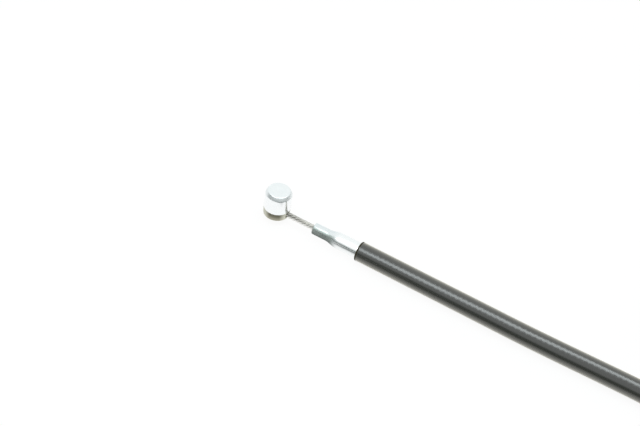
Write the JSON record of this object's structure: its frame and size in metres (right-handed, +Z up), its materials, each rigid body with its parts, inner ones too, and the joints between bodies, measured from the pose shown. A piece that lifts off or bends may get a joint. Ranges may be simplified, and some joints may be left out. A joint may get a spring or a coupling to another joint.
{
  "type": "control cable",
  "caption": "Sleeved push-pull wire in a black jacketed conduit, barrel nipple and stepped ferrule at one end, screw adjuster at the other, spare length in a tied coil.",
  "frame": {"origin": "middle of the foot of the front barrel nipple", "axes": "+X along the cable from the front nipple to the rear nipple, +Z up along the barrel nipple"},
  "size_m": [0.2198, 0.061, 0.012],
  "materials": {
    "cast_zinc": "bright plated casting, dull dark foot",
    "wire_rope": "stranded galvanised steel",
    "plated_steel": "bright nickel plate",
    "black_jacket": "glossy extruded vinyl",
    "wound_steel": "wound flat steel wire",
    "liner_plastic": "waxy white plastic",
    "strap_nylon": "moulded black nylon",
    "zinc_hardware": "blue-white zinc plate"
  },
  "bodies": {
    "housing": {"front_ferrule": "plated_steel", "front_jacket": "black_jacket", "front_conduit": "wound_steel", "front_liner": "liner_plastic", "cable_run": "black_jacket", "cable_coil": "black_jacket", "coil_tie": "strap_nylon", "rear_run": "black_jacket", "rear_jacket": "black_jacket", "rear_conduit": "wound_steel", "rear_liner": "liner_plastic", "rear_ferrule": "plated_steel"},
    "front_cable_end": {"front_wire": "wire_rope", "front_nipple": "cast_zinc"},
    "rear_cable_end": {"rear_wire": "wire_rope", "rear_nipple": "cast_zinc"},
    "adjuster": {"adjuster_screw": "zinc_hardware"},
    "inner_washer_body": {"inner_washer": "zinc_hardware"},
    "inner_nut_body": {"inner_lock_nut": "zinc_hardware"},
    "outer_washer_body": {"outer_washer": "zinc_hardware"},
    "outer_nut_body": {"outer_lock_nut": "zinc_hardware"}
  },
  "joints": [
    {"name": "front_wire_slide", "type": "slide", "parent": "housing", "child": "front_cable_end", "axis": [1, 0, 0], "range_m": [-0.012, 0.0075]},
    {"name": "rear_wire_slide", "type": "slide", "parent": "housing", "child": "rear_cable_end", "axis": [1, 0, 0], "range_m": [-0.012, 0.0075]},
    {"name": "adjuster_turn", "type": "hinge", "parent": "housing", "child": "adjuster", "pos_m": [0.17, 0.0025, 0.0045], "axis": [1, 0, 0], "continuous": true},
    {"name": "inner_washer_travel", "type": "slide", "parent": "adjuster", "child": "inner_washer_body", "axis": [1, 0, 0], "range_m": [-0.0029, 0.0014]},
    {"name": "inner_nut_spin", "type": "hinge", "parent": "inner_washer_body", "child": "inner_nut_body", "pos_m": [0.167, 0.0025, 0.0045], "axis": [1, 0, 0], "range_deg": [-1060, 520]},
    {"name": "outer_washer_travel", "type": "slide", "parent": "adjuster", "child": "outer_washer_body", "axis": [1, 0, 0], "range_m": [-0.0014, 0.011]},
    {"name": "outer_nut_spin", "type": "hinge", "parent": "outer_washer_body", "child": "outer_nut_body", "pos_m": [0.1765, 0.0025, 0.0045], "axis": [1, 0, 0], "range_deg": [-520, 3980]}
  ],
  "couplings": [
    {"joint": "rear_wire_slide", "follows": "front_wire_slide", "ratio": 1},
    {"joint": "inner_nut_spin", "follows": "inner_washer_travel", "rad_per_m": 6283.2},
    {"joint": "outer_nut_spin", "follows": "outer_washer_travel", "rad_per_m": 6283.2}
  ]
}
